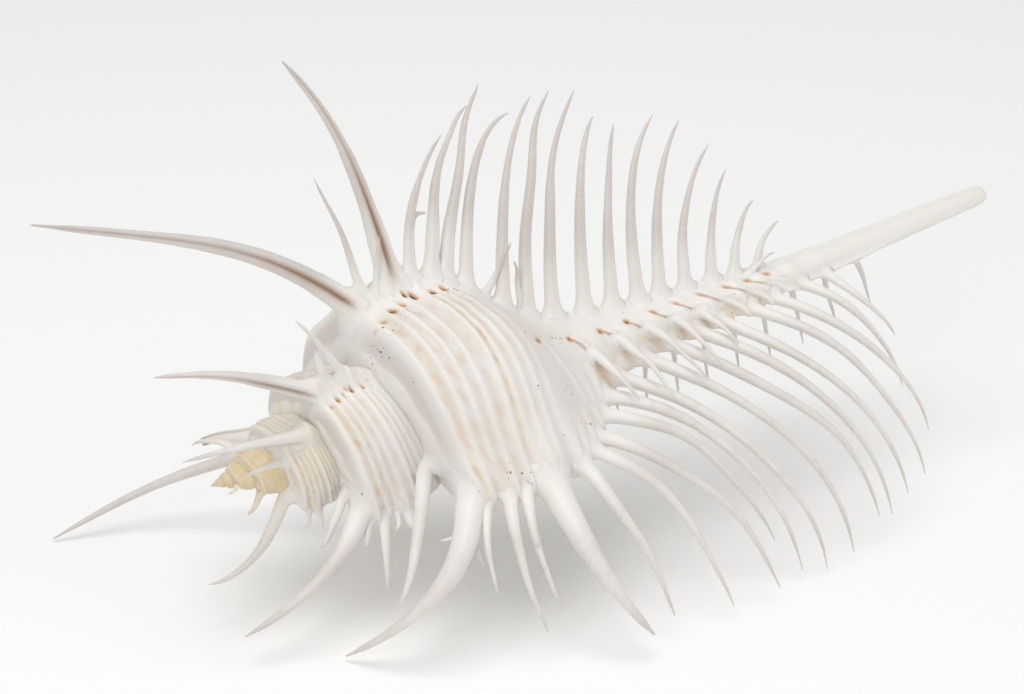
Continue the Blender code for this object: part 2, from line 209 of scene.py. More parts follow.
# The rows of the spire, by growth back
SPIRE_SPINES = {
    450.0: [(17, (5, 18, 2), (-6, 21.5, 6), 3.2), (19, (18, 14.5, 2), (18, 16.5, 6), 1.5),
            (22, (19, 16.5, 6), (17, 20, 16), 1.6)],
    339.0: [(18, (13, 12.5, -3), (11, 14, -8), 1.7), (19, (9.5, 18, -4), (-4, 21.5, -13), 4.2),
            (20, (17.5, 15, -3), (17, 16.5, -8), 1.6), (21.5, (18.5, 19, -3), (17, 23.5, -8), 1.8),
            (22.6, (22.3, 15, 0), (21.2, 16.2, 0), 1.2), (24, (24, 15.3, 0), (23.3, 17, 0), 3.4)],
    561.0: [(15, (9.5, 13, 0), (5, 14.8, 0), 3.6)],
    764.0: [(9.8, (6.8, 7.4, 0), (2.2, 10.2, 0), 2.1)],
    783.0: [(14, (5, 10.5, 1), (-6, 13, 3), 2.9)],
    672.0: [(11, (2.5, 11.5, -2), (-4.5, 13, -6), 2.4), (12.4, (12, 9.4, 0), (11.1, 10.4, 0), 1),
            (13.7, (13.7, 9.9, 0), (13.4, 11, 0), 1.5)],
    894.0: [(7, (4.5, 7, 0), (1, 8, 0), 1.8)],
    1028.0: [(6.8, (5.6, 4.6, 0), (3.9, 5.7, 0), 1.3)],
    1437.0: [(3.6, (2.9, 2.1, 0), (1.7, 2.5, 0), 0.6)],
}
BROKEN_AT = 561.0  # the spine of this varix is broken off short
BROKEN_TAPER = 0.42
# A small spike on the canal, by growth back, and the thin spurs on the canal's front
SMALL_SPIKE = (96.0, [(88.7, (91.3, 4.1, 0), (93.9, 4.9, 0), 1.0)])
SPUR_BACK = 42.0
CANAL_SPURS = [
    (58.4, (59.7, 10.4, -22), (60.7, 15.8, -36), 2.1), (64.2, (64.9, 10.5, -22), (65.2, 18.8, -36), 2.1),
    (69.1, (70.5, 9, -22), (71.8, 16.7, -36), 2), (74, (74.8, 8, -22), (75.3, 14.8, -36), 1.9),
    (78.4, (79.4, 6.6, -22), (80.4, 11.2, -36), 1.7),
]
# Barbs: row and number of the spine, how far along, x and r to the middle and tip
BARBS = [("upper", 4, 0.33, (1, 1.2), (2.6, 1)), ("lip", 5, 0.42, (-0.2, 0.4), (-0.5, 1.2)),
         ("lip", 1, 0.22, (-1.6, -0.2), (-3.4, -0.6))]
BARB_WIDTH = 1.1
FOOT_SUNK, LEAST_FOOT_R = 1.2, 0.6  # a spine's root starts inside the varix

# The make of a spine, against its width at the foot
SIDES = 16
RINGS = 30
RING_CROWDING = 1.1
SHAFT = 0.31  # half the shaft
TIP_PART, TAPER_BEND = 0.22, 0.8
POINT_STARTS, POINT_LOSS = 0.90, 0.55
FOOT_WIDENS, FOOT_WIDENS_OVER = 0.20, 5.0
SWAY = 0.010  # of its length
STEPS, STEP_DROP, STEP_HALF = 5, 0.06, 0.008
GROOVE_DEPTH, GROOVE_WIDTHS = (0.08, 0.32), (2.6, 3.6)
GROOVE_DEEPEST = 0.40
GROOVE_HALF = 0.34  # in radians about the spine

# Where a spine runs out onto the skin
COLLAR_TOP = (0.7, 0.30)  # over the skin: a first part, and more with the width
COLLAR_FOOT = (0.35, 0.30)  # past the shaft, the same way
COLLAR_SKIN, COLLAR_SUNK = 0.05, 0.45
COLLAR_PARTS = (0, 0.15, 0.32, 0.5, 0.68, 0.85)
COLLAR_GROOVE = (0, 0, 0, 0.15, 0.4, 0.7, 0.9)  # of the groove, ring by ring
FOOT_MARK = (3.5, 1.2)  # where the skin's colour runs up

# How taupe each row is, and the rows with brown in their grooves
SPINE_TINT = {116.0: 0.6, 0.0: 0.05, 230.0: 0.5, 764.0: -0.3, 783.0: -0.2, 42.0: 0.0}
USUAL_TINT, TINT_SPREAD = 0.3, 0.4
GROOVE_STAINED = (116, 450, 783)
STAINED_WIDTH, GROOVE_STAIN, BROKEN_STAIN = 2.8, 0.9, 0.8
SPINE_YELLOW = 0.45  # of the skin's yellow

# Tan bands: place between the strong cords, or distance past the main one, then half
# width, strength, and the part of it that isn't blotchy
BANDS_BETWEEN = [(0.145, 0.07, 0.95, 0.35), (0.385, 0.06, 0.55, 0), (0.61, 0.06, 0.45, 0),
                 (0.85, 0.06, 0.4, 0)]
BANDS_PAST = [(0.95, 0.34, 1, 0.35), (2.8, 0.3, 0.35, 0)]
BLOTCH_SIZE, BLOTCH_SEED, BLOTCH_FROM = 3.4, 11, (-0.35, 0.7)
BANDS_SMOOTHED = 0.85  # lost on the smooth strips

# Brown trails from the canal's pits, and soft shadows between the ribs
TRAIL_PAST, TRAIL_HALF, TRAIL_TOP = 0.3, 0.26, 4.0
TRAIL_LOWEST, TRAIL_SHORTER, TRAILS_SHORTER = -44.0, 30.0, (66, 80)
SHADOW_PAST, SHADOW_HALF, SHADOWED_ANGLES = -0.5, 1.0, (-60, -40, -30, -5)
TRAILS_AND_SHADE_X = (52, 56, 90, 93)

# Shade along the suture, on the ramp and between the cords
SUTURE_SHADE, SUTURE_AT, RAMP_SHADE, RAMP_ENDS = 0.7, (28.4, 29.3), 0.55, (31.2, 32.4)
CORD_SHADE, SHADE_ENDS = 0.35, (50, 58)
PALE_CORDS, PALE_CANAL = (0.25, 0.6), (58, 66)
YELLOW_HINT, YELLOW_HINT_BACK, YELLOW_BACK = 0.16, (420, 700), (860, 1030)

# Where dirt has caught: x, growth back, and how far it spreads in mm
DIRT = [(26.5, 88, 2), (29, 92, 1.5), (33, 98, 2.5), (31, 1, 1.2), (36.5, 8, 1.6),
        (38.5, 6, 1.2), (49.5, 30, 1.5), (53, 62, 2.5), (33.5, -6, 1.3), (50, 12, 1.2),
        (44, 36, 1), (40.5, 102, 3), (18.5, 352, 1.6), (14, 455, 1.5), (20, 330, 1.2)]
BODY_R = 18.0  # to turn degrees into mm

# Mesh fineness: growth steps and columns along the profile, closer where they are seen
FRONT_STEP, REAR_STEP, FRONT_ENDS, WHORL_ENDS = 1.1, 2.4, 132.0, 362.2
COLUMNS = [(28.0, 31.0, 22), (31.0, 54.0, 104), (54.0, 95.0, 150), (95.0, 132.4, 48)]
END_COLUMNS = (132.4, 132.9, 133.2, 133.4, 133.5)
SPIRE_STEPS = [(357.0, 720.0, 3.0), (720.0, 1500.0, 5.0), (1500.0, 3600.0, 9.0)]
SPIRE_COLUMNS, SPIRE_END = [(28.0, 31.0, 14), (31.0, 52.0, 55)], (52.0,)
PILLAR_BACK, PILLAR_COLUMNS = (354.0, 520.0, 4.0), (46.0, 96.0, 70)

# Colours
WHITE = (0.83, 0.805, 0.77)
CREAM = (0.79, 0.725, 0.62)
LILAC_GREY = (0.55, 0.49, 0.47)
TAN = (0.68, 0.46, 0.24)
OCHRE = (0.62, 0.30, 0.09)
TRAIL_BROWN = (0.36, 0.17, 0.07)
DARK_BROWN = (0.10, 0.025, 0.010)
YELLOW_CREAM = (0.80, 0.63, 0.33)
SPECK = (0.045, 0.035, 0.025)
SPINE_PALE = (0.80, 0.765, 0.735)
SPINE_GREY = (0.73, 0.685, 0.65)
SPINE_TAUPE = (0.61, 0.56, 0.525)
SPINE_STREAK = (0.48, 0.42, 0.38)
# Colour of the painted shade in the spines' grooves
GROOVE_SHADE_BROWN = (0.40, 0.27, 0.20)
STAIN_BROWN = (0.28, 0.13, 0.05)
TIP_GREY = (0.55, 0.50, 0.47)
FLOOR_WHITE = (0.985, 0.985, 0.98)

# The stage, in metres: lights (name, place, size, watts) and the sky's strength
LIGHTS = [("top_soft", (-0.1, -0.05, 0.75), 0.6, 2.4), ("left_soft", (-0.6, -0.45, 0.40), 0.5, 1.3),
          ("right_soft", (0.6, -0.55, 0.30), 0.5, 0.8)]
SKY = 0.50

# The photograph's view, about the shell's own axis
VIEW_SWING = 22.0
VIEW_ROLL = 20.65
VIEW_AIM = (50.0, 3.32)
VIEW_DISTANCE = 450.0
LENS, SENSOR = 108.5, 36.0


def smooth_step(a, b, value):
    t = np.clip((np.asarray(value, float) - a) / (b - a), 0.0, 1.0)
    return t * t * (3.0 - 2.0 * t)


def bump(value, centre, half):
    """A soft hill of height 1 at the centre."""
    return np.exp(-((value - centre) / half) ** 2)


def within(limits, value):
    """1 between the middle two limits, with soft ends to the outer two."""
    return smooth_step(*limits[:2], value) * (1.0 - smooth_step(*limits[2:], value))


def grown(pair, amount):
    """A first part, and more with the amount."""
    return pair[0] + pair[1] * amount


def rest_matrix():
    turn = Matrix.Rotation(math.radians(REST_PITCH), 4, "Y")
    turn @= Matrix.Rotation(math.radians(REST_ROLL), 4, "X")
    return Matrix.Translation(APEX_AT) @ turn


REST = np.array(rest_matrix())


def monotone_slopes(px, pr):
    """Slopes for a curve through the profile that makes no new hills."""
    secant = np.diff(pr) / np.diff(px)
    slope = np.zeros_like(px)
    slope[0], slope[-1] = secant[0], secant[-1]
    for i in range(1, len(px) - 1):
        a, b = secant[i - 1], secant[i]
        slope[i] = 0.0 if a * b <= 0 else 2.0 * a * b / (a + b)
    return slope


PROFILE_X, PROFILE_R = (np.array(v) for v in zip(*LIP_PROFILE))
PROFILE_SLOPE = monotone_slopes(PROFILE_X, PROFILE_R)


def profile(at_lip):
    """Radius of the outer profile at the lip."""
    q = np.clip(at_lip, PROFILE_X[0], PROFILE_X[-1])
    i = np.clip(np.searchsorted(PROFILE_X, q) - 1, 0, len(PROFILE_X) - 2)
    width = PROFILE_X[i + 1] - PROFILE_X[i]
    t = (q - PROFILE_X[i]) / width
    a = PROFILE_R[i] * (2 * t ** 3 - 3 * t ** 2 + 1) + PROFILE_SLOPE[i] * width * (t ** 3 - 2 * t ** 2 + t)
    b = PROFILE_R[i + 1] * (3 * t ** 2 - 2 * t ** 3) + PROFILE_SLOPE[i + 1] * width * (t ** 3 - t ** 2)
    return a + b


def growth(back):
    return WHORL_GROWTH ** (-np.asarray(back, float) / 360.0)


def growth_scale(at_lip, size):
    """How far growth shrinks the profile here: fully on the body, not on the canal."""
    fade = np.clip((CANAL_FADE[1] - at_lip) / (CANAL_FADE[1] - CANAL_FADE[0]), 0.0, 1.0)
    return 1.0 + (size - 1.0) * fade


def rear_swell(back):
    total = 0.0
    for turn in range(6):
        total = total + bump(back, REAR_SWELL_AT + turn * REAR_TURN, REAR_SWELL_SPREAD)
    return total


def varix(back):
    """How far each old lip lifts the surface, as a factor."""
    factor = 1.0
    for crest in CRESTS + SPIRE_CRESTS:
        ahead = crest - back
        spread = np.where(ahead > 0, VARIX_FRONT, VARIX_BACK)
        factor = factor * (1.0 + VARIX_RISE * np.exp(-(ahead / spread) ** 2))
    return factor


def canal_sag(x):
    return -CANAL_SAG * (smooth_step(*SAG_DOWN, x) - SAG_RECOVERS * smooth_step(*SAG_UP, x))


def place(x, radius, angle):
    """Points about the shell's axis, in millimetres, as rows of x, y, z."""
    a = np.radians(angle)
    x, radius, a = np.broadcast_arrays(np.asarray(x, float), radius, a)
    return np.stack([x, -radius * np.cos(a), radius * np.sin(a) + canal_sag(x)], -1)


def ripple(u, v, size, seed):
    """Soft unevenness between -1 and 1, from a few crossing waves."""
    waves = np.random.default_rng(seed)
    total = 0.0
    for _ in range(WAVES):
        direction = waves.uniform(0, TURN)
        length = size * waves.uniform(0.6, 1.8)
        phase = waves.uniform(0, TURN)
        across = u * math.cos(direction) + v * math.sin(direction)
        total = total + np.sin(TURN * across / length + phase)
    return total / (0.5 * WAVES)


def strong_cords(back):
    """Places of the shoulder cord and the main cord."""
    return [own - (own - at_lip) * (1.0 - smooth_step(0.0, behind, back))
            for own, at_lip, behind in (SHOULDER_CORD, MAIN_CORD)]


def cord_height(at_lip, back):
    """Height of the spiral cords, in millimetres at the lip."""
    shoulder, main = strong_cords(back)
    height = STRONG * bump(at_lip, shoulder, SHOULDER_HALF) + STRONG * bump(at_lip, main, MAIN_HALF)
    for part in SMALL_CORDS:
        height = height + WEAK * bump(at_lip, shoulder + part * (main - shoulder), WEAK_HALF)
    for number, past in enumerate(LOW_CORDS):
        height = height + WEAK * (0.95 - 0.2 * number) * bump(at_lip, main + past, WEAK_HALF)
    wave = 0.65 + 0.35 * np.sin(np.radians(back * 13.0) + 1.3 * np.sin(np.radians(back * 3.0)))
    height = height + bump(at_lip, RIM, RIM_HALF) * wave
    return height - 0.25 * bump(at_lip, RIM + 0.75, 0.3)


def pit_depth(at_lip, back):
    """How deep the small pits of the body are, 1 at the middle of the deepest."""
    depth = np.zeros(np.broadcast(at_lip, back).shape)
    for pit_at, pit_back, strength in BODY_PITS:
        size = grown(PIT_SIZE, strength)
        along = (at_lip - pit_at) / size
        across = (back - pit_back) * BODY_ARC / (PIT_LONG * size)
        depth = np.maximum(depth, strength * np.exp(-(along ** 2 + (across + PIT_SLANT * along) ** 2)))
        again = (back - pit_back - REAR_TURN) * SPIRE_ARC / size
        depth = np.maximum(depth, SPIRE_PIT * strength * np.exp(-(along ** 2 + again ** 2)))
    return depth


def pit_head(pit_x):
    """x and angle of the middle of a pit on the canal, and how drawn out it is."""
    climb = PIT_CLIMB * float(smooth_step(*PITS_CLIMB, pit_x))
    drawn = float(smooth_step(*PITS_DRAWN_OUT, pit_x))
    return pit_x - RIB_LEAN * climb + DRAWN_OUT * drawn, CANAL_PIT_ANGLE + climb, drawn


def along_ribs(x, angle):
    """x moved along the slant of the ribs to the angle of the first pits."""
    return x - RIB_LEAN * (CANAL_PIT_ANGLE - angle)


def canal_pattern(x, back, radius):
    """Ribs that cross the front of the canal, and the pits at their heads."""
    angle = LIP_ANGLE + back
    along = along_ribs(x, angle)
    ribs = np.zeros(np.broadcast(x, back).shape)
    pits = np.zeros_like(ribs)
    for pit_x in CANAL_PITS:
        for past, half, height in RIBS:
            ribs = np.maximum(ribs, height * bump(along, pit_x + past, half))
        head_x, head_angle, drawn = pit_head(pit_x)
        slant = drawn * (STREAK_SLANT - STREAK_LEVELS * float(smooth_step(*STREAKS_LEVEL, pit_x)))
        across = np.radians(angle - head_angle) * radius + slant * (x - head_x)
        near = ((x - head_x) / grown(CANAL_PIT_LONG, drawn)) ** 2
        near = near + (across / grown(CANAL_PIT_WIDE, drawn)) ** 2
        pits = np.maximum(pits, grown(CANAL_PIT_STRENGTH, drawn) * np.exp(-near))
    return ribs * within(RIBBED_ANGLES, angle) * within(RIBBED_X, x), pits


def rear_comb():
    """The rear comb along the canal: an even row, shorter toward its end."""
    spines = []
    bend_x, bend_r, bend_turn = COMB_BEND
    for x in np.linspace(*COMB_FEET, COMB_COUNT):
        part = (x - COMB_FEET[0]) / (COMB_FEET[1] - COMB_FEET[0])
        reach = grown(COMB_REACH, part ** 3)
        lean = grown(COMB_LEAN, part)
        turn = grown(COMB_TURN, part)
        middle = (x + bend_x * lean, bend_r * reach, bend_turn * turn)
        spines.append((x, middle, (x + lean, reach, turn), COMB_WIDTH))
    return spines


def feet():
    """Growth back, x and width of the foot of every spine that swells the skin."""
    rows = [(CRESTS[1], UPPER_SPINES), (CRESTS[0], LIP_SPINES), (CRESTS[2], REAR_SPINES + rear_comb())]
    rows += list(SPIRE_SPINES.items())
    return [(back, spine[0], spine[3]) for back, row in rows for spine in row]


def foot_hills(x, back, radius):
    """The skin swells up into each spine, with a long slope on the older side."""
    hills = np.zeros(np.broadcast(x, back).shape)
    for crest, foot_x, width in feet():
        across = np.radians(back - crest) * radius
        slope = np.where(across > 0, HILL_OLD_SIDE, HILL_YOUNG_SIDE) * grown(HILL_SLOPE, width)
        hill = np.exp(-((x - foot_x) / grown(HILL_HALF, width)) ** 2 - (across / slope) ** 2)
        hills = np.maximum(hills, grown(HILL_HEIGHT, width) * hill)
    return hills


def varix_strips(at_lip, back):
    """The low fin along each varix, and the smooth strip on its young side."""
    fins = np.zeros(np.broadcast(at_lip, back).shape)
    smooth = np.zeros_like(fins)
    for crest in CRESTS + SPIRE_CRESTS:
        smooth = np.maximum(smooth, bump(back, crest - SMOOTH_AHEAD, SMOOTH_SPREAD))
        ahead = crest - back
        fin = np.exp(-(ahead / np.where(ahead > 0, FIN_FRONT, FIN_BACK)) ** 2)
        fin_end = UPPER_FIN_END if crest == CRESTS[1] else FIN_END
        fin = fin * (1.0 - smooth_step(fin_end, fin_end + FIN_FADE, at_lip))
        fins = np.maximum(fins, fin)
    return fins, smooth


def uneven(radius, along, back, at_lip, relief):
    """The radius with the dents, grain and growth lines of the skin."""
    arc = np.radians(back) * np.maximum(radius, 1.0)
    height, size, seed = DENTS
    dents = ripple(along, arc, size, seed)
    radius = radius + relief * height * dents * np.minimum(radius / FULL_RELIEF_R, 1.0)
    height, size, seed = GRAIN
    radius = radius + relief * height * ripple(along, arc, size, seed)
    height, size, seed = LINES
    lines = ripple(along * LINES_STRETCH, arc, size, seed)
    lines = lines * (1.0 - smooth_step(*LINES_END, at_lip))
    return radius + relief * height * lines * np.minimum(radius / FULL_RELIEF_R, 1.0)


def surface(at_lip, back, relief=1.0):
    """The outer skin: x, r, and the height of the cords, pits, ribs and smooth strips."""
    size = growth(back)
    scale = growth_scale(at_lip, size)
    swell = rear_swell(back) * (1.0 - smooth_step(*REAR_FADES, at_lip))
    x = at_lip * scale - REAR_RIDE * size * swell
    outline = profile(at_lip)
    young = YOUNG_PART * smooth_step(*YOUNG_BACK, back)
    outline = outline + young * (np.interp(at_lip, YOUNG_X, YOUNG_R) - np.minimum(outline, YOUNG_R[-1]))
    radius = outline * scale * (1.0 + REAR_SWELL * swell) * varix(back)
    radius = radius * (1.0 - CANAL_SLIMMER * smooth_step(*CANAL_SLIMS, at_lip))
    canal = smooth_step(*CANAL_BEGINS, at_lip)
    fins, smooth = varix_strips(at_lip, back)
    cords = cord_height(at_lip, back) * size * (1.0 - SMOOTHED * smooth)
    cords = cords * (1.0 - WORN * smooth_step(*WORN_BACK, back))
    ribs, canal_pits = canal_pattern(x, back, radius)
    pits = np.maximum(pit_depth(at_lip, back), canal_pits)
    fin_height = FIN_ON_BODY * size * (1.0 - canal) + FIN_ON_CANAL * canal
    radius = radius + relief * (cords * (1.0 - canal) + RIB_HEIGHT * ribs - PIT_DEPTH * pits
                                + foot_hills(x, back, radius) + fins * fin_height)
    radius = uneven(radius, at_lip * scale, back, at_lip, relief)
    under = smooth_step(*SLIT_FROM, back) * (1.0 - smooth_step(*SLIT_TO, back) * (1.0 - canal))
    radius = radius * (1.0 - SLIT_SINK * under * canal)
    return x, radius, cords, pits, ribs, smooth


def grid_faces(rows, columns):
    """Faces of a grid of points, turned to face away from the axis."""
    i, j = np.meshgrid(np.arange(rows - 1), np.arange(columns - 1), indexing="ij")
    a = (i * columns + j).ravel()
    return np.stack([a + columns, a + columns + 1, a + 1, a], -1)


def new_piece(name, points, faces, marks, material):
    """A piece from points about the shell's axis, set down in the frame."""
    world = points * MM @ REST[:3, :3].T + REST[:3, 3]
    mesh = bpy.data.meshes.new(name)
    mesh.from_pydata(world.tolist(), [], list(faces))
    for mark, values in marks.items():
        layer = mesh.attributes.new(mark, "FLOAT", "POINT")
        layer.data.foreach_set("value", np.ascontiguousarray(values, dtype=np.float32))
    mesh.shade_smooth()
    mesh.update()
    obj = bpy.data.objects.new(name, mesh)
    bpy.context.scene.collection.objects.link(obj)
    obj.data.materials.append(material)
    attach(obj, "root")
    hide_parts("murex_shell")


def yellowing(back):
    hint = YELLOW_HINT * smooth_step(*YELLOW_HINT_BACK, back)
    return hint + (1.0 - YELLOW_HINT) * smooth_step(*YELLOW_BACK, back)


def tan_bands(at_lip, back):
    """Blotchy tan bands between the cords."""
    shoulder, main = strong_cords(back)
    part = (at_lip - shoulder) / (main - shoulder)
    blotch = smooth_step(*BLOTCH_FROM, ripple(at_lip * 2.0, back * 0.33, BLOTCH_SIZE, BLOTCH_SEED))
    band = 0.0
    for at, half, strength, steady in BANDS_BETWEEN:
        band = band + strength * bump(part, at, half) * (steady + (1.0 - steady) * blotch)
    for past, half, strength, steady in BANDS_PAST:
        band = band + strength * bump(at_lip, main + past, half) * (steady + (1.0 - steady) * blotch)
    return band


def canal_trails_and_shade(x, angle):
    """Brown trails that run from the canal's pits, and the shadows between its ribs."""
    along = along_ribs(x, angle)
    trail = np.zeros(x.shape)
    shadow = np.zeros(x.shape)
    low = within(SHADOWED_ANGLES, angle)
    for pit_x in CANAL_PITS:
        head_angle = pit_head(pit_x)[1]
        trail_end = TRAIL_LOWEST + TRAIL_SHORTER * float(smooth_step(*TRAILS_SHORTER, pit_x))
        reach = smooth_step(trail_end, TRAIL_TOP, angle)
        above = smooth_step(head_angle - 2.0, head_angle + 2.0, angle)
        trail = np.maximum(trail, bump(along, pit_x + TRAIL_PAST, TRAIL_HALF) * (reach * (1.0 - above)))
        shadow = np.maximum(shadow, bump(along, pit_x + SHADOW_PAST, SHADOW_HALF) * low)
    on_canal = within(TRAILS_AND_SHADE_X, x)
    return trail * on_canal, shadow * on_canal


def caught_dirt(x, back, size):
    dirt = np.zeros(x.shape)
    for dirt_x, dirt_back, spread in DIRT:
        arc = np.radians(back - dirt_back) * BODY_R * size
        dirt = np.maximum(dirt, np.exp(-(((x - dirt_x) ** 2 + arc ** 2) / spread ** 2)))
    return dirt


def whorl_marks(at_lip, back, x, cords, pits, smooth):
    """Where the skin is stained, banded, shaded, pale or yellowed."""
    size = growth(back)
    by_spine = np.clip(foot_hills(x, back, np.minimum(profile(at_lip), BODY_R) * size), 0.0, 1.0)
    trail, shadow = canal_trails_and_shade(x, LIP_ANGLE + back)
    band = tan_bands(at_lip, back) * (1.0 - BANDS_SMOOTHED * smooth)
    # The painted shadows between the canal's ribs join the band mark, in the same tan as the bands
    band = np.maximum(band, shadow * (1.0 - 0.6 * by_spine))
    ramp = (1.0 - smooth_step(*RAMP_ENDS, at_lip)) * smooth_step(RIM, RIM + 0.5, at_lip)
    suture = np.maximum(1.0 - smooth_step(*SUTURE_AT, at_lip), RAMP_SHADE * ramp)
    between = (1.0 - smooth_step(0.0, 0.25, cords / size)) * (1.0 - smooth)
    shade = np.clip(SUTURE_SHADE * suture + CORD_SHADE * between, 0.0, 1.0)
    pale = np.maximum(np.maximum(smooth, by_spine), smooth_step(*PALE_CANAL, at_lip))
    pale = np.maximum(pale, smooth_step(*PALE_CORDS, cords / size))
    return {
        "band": band,
        "holes": np.clip(pits * 1.5, 0.0, 1.0),
        "trail": np.clip(trail, 0.0, 1.0),
        "yellow": yellowing(back),
        "shade": shade * (1.0 - smooth_step(*SHADE_ENDS, at_lip)) * (1.0 - by_spine),
        "dirt": caught_dirt(x, back, size),
        "pale": np.clip(pale, 0.0, 1.0),
    }


def columns_from(stretches, ends):
    """Places along the profile, evenly spaced in each stretch."""
    parts = [np.linspace(start, end, count, endpoint=False) for start, end, count in stretches]
    return np.concatenate(parts + [np.array(ends)])


def edge_wave(at_lip):
    """How far the lip's edge is scalloped, in degrees of growth."""
    wave = SCALLOPS * np.cos(TURN * (at_lip - 32.0) / SCALLOP_LENGTH)
    wave = wave + RUFFLES * np.sin(TURN * at_lip / RUFFLE_LENGTH)
    return wave * within(SCALLOPED, at_lip)


def inner_wall(columns, edge_back):
    """The rounded lip and the wall inside it, from the throat out, and how deep each row is."""
    throat = np.arange(28.0, THROAT_DEPTH, 8.0)
    steps = np.concatenate([EDGE_BACK, WALL_BACK, throat])[:, None]
    depth = np.concatenate([EDGE_WALL, np.ones(len(steps) - len(EDGE_WALL))])[:, None]
    back = edge_back + steps
    at_lip = np.broadcast_to(columns[None, :], back.shape)
    x, radius, *_ = surface(at_lip, back, relief=0.15)
    wall = np.minimum(WALL, WALL_PART * radius) * depth
    taper = 1.0 - THROAT_TAPER * smooth_step(TAPER_STARTS, THROAT_DEPTH, steps)
    middle = WHORL_MIDDLE * growth(back)
    x = middle + (x - middle) * np.where(x < THROAT_BASE, taper, 1.0)
    folds = LIP_FOLDS * np.sin(TURN * at_lip / LIP_FOLD_LENGTH)
    folds = folds * bump(steps, 9.0, 7.0) * within(LIP_FOLDED, at_lip)
    radius = np.maximum((radius - wall) * taper - folds * depth, 0.02)
    return place(x, radius, LIP_ANGLE + back)[::-1], depth[::-1, 0]


def make_last_whorl(material):
    """The last turn with its canal, and the wall that runs back inside from the lip."""
    steps = np.concatenate([np.arange(LIP_REACH, FRONT_ENDS, FRONT_STEP),
                            np.arange(FRONT_ENDS, WHORL_ENDS, REAR_STEP)])
    columns = columns_from(COLUMNS, END_COLUMNS)
    back, at_lip = np.meshgrid(steps, columns, indexing="ij")
    near_edge = 1.0 - smooth_step(LIP_REACH, LIP_REACH + LIP_EDGE_DEPTH, back)
    back = back + edge_wave(at_lip) * near_edge
    x, radius, cords, pits, _, smooth = surface(at_lip, back)
    outer = place(x, radius, LIP_ANGLE + back)
    inner, depth = inner_wall(columns, back[0][None, :])
    marks = {mark: np.concatenate([np.zeros(inner[..., 0].size), values.ravel()])
             for mark, values in whorl_marks(at_lip, back, x, cords, pits, smooth).items()}
    marks["inside"] = np.concatenate([np.repeat(smooth_step(0.5, 1.0, depth), len(columns)),
                                      np.zeros(back.size)])
    points = np.concatenate([inner.reshape(-1, 3), outer.reshape(-1, 3)])
    faces = grid_faces(len(inner) + len(outer), len(columns))
    new_piece("last_whorl", points, faces, marks, material)


def make_spire(material):
    """The earlier whorls, on to the apex."""
    steps = np.concatenate([np.arange(*stretch) for stretch in SPIRE_STEPS])
    columns = columns_from(SPIRE_COLUMNS, SPIRE_END)
    back, at_lip = np.meshgrid(steps, columns, indexing="ij")
    x, radius, cords, pits, _, smooth = surface(at_lip, back)
    marks = whorl_marks(at_lip, back, x, cords, pits * 0.9, smooth)
    marks = {mark: values.ravel() for mark, values in marks.items()}
    marks["inside"] = np.zeros(back.size)
    points = place(x, radius, LIP_ANGLE + back).reshape(-1, 3)
    new_piece("spire", points, grid_faces(len(steps), len(columns)), marks, material)


def make_pillar(material):
    """The pillar that the whorls wind about, seen in the mouth."""
    steps, columns = np.arange(*PILLAR_BACK), np.linspace(*PILLAR_COLUMNS)
    back, at_lip = np.meshgrid(steps, columns, indexing="ij")
    x, radius, *_ = surface(at_lip, back, relief=0.1)
    points = place(x, radius * 0.985, LIP_ANGLE + back).reshape(-1, 3)
    marks = {mark: np.zeros(len(points))
             for mark in ("band", "holes", "trail", "yellow", "shade", "dirt", "pale")}
    marks["inside"] = np.ones(len(points))
    new_piece("pillar", points, grid_faces(len(steps), len(columns)), marks, material)


def solve_place(x, back, size, rounds):
    """Scale, swelling and place on the lip's profile of the skin at x."""
    scale = size * np.ones_like(x, float)
    for _ in range(rounds):
        scale = growth_scale(x / scale, size)
    swell = rear_swell(back) * (1.0 - smooth_step(*REAR_FADES, x / scale))
    return scale, swell, (x + REAR_RIDE * size * swell) / scale


def plain_radius(x, back):
    """Radius of a whorl at x, without its relief."""
    rounds = SOLVE_ROUNDS if back <= 360.0 else 0
    scale, swell, at_lip = solve_place(x, back, growth(back), rounds)
    if at_lip < PROFILE_X[1] or at_lip > PROFILE_X[-1]:
        return 0.0
    return float(profile(at_lip) * scale * (1.0 + REAR_SWELL * swell) * varix(back))


def surface_radius(x, angle):
    """Radius of the outermost whorl at x."""
    back = (angle - LIP_ANGLE) % 360.0
    return max(plain_radius(x, back + 360.0 * turn) for turn in range(7))


def skin_radius(x, back):
    return surface(solve_place(x, back, growth(back), SOLVE_ROUNDS)[2], back)[1]


def curve_point(points, t):
    a, b, c = points
    return a * (2 * t - 1) * (t - 1) + b * 4 * t * (1 - t) + c * t * (2 * t - 1)


def unit(v):
    return v / max(np.linalg.norm(v), 1e-9)


def about_axis(points, near_back):
    """x, r and growth back of points, on the turn that is nearest."""
    x = points[..., 0]
    z = points[..., 2] - canal_sag(x)
    radius = np.hypot(points[..., 1], z)
    back = np.degrees(np.arctan2(z, -points[..., 1])) - LIP_ANGLE
    return x, radius, back + 360.0 * np.round((near_back - back) / 360.0)


def height_over_skin(points, near_back):
    x, radius, back = about_axis(points, near_back)
    return radius - skin_radius(x, back)


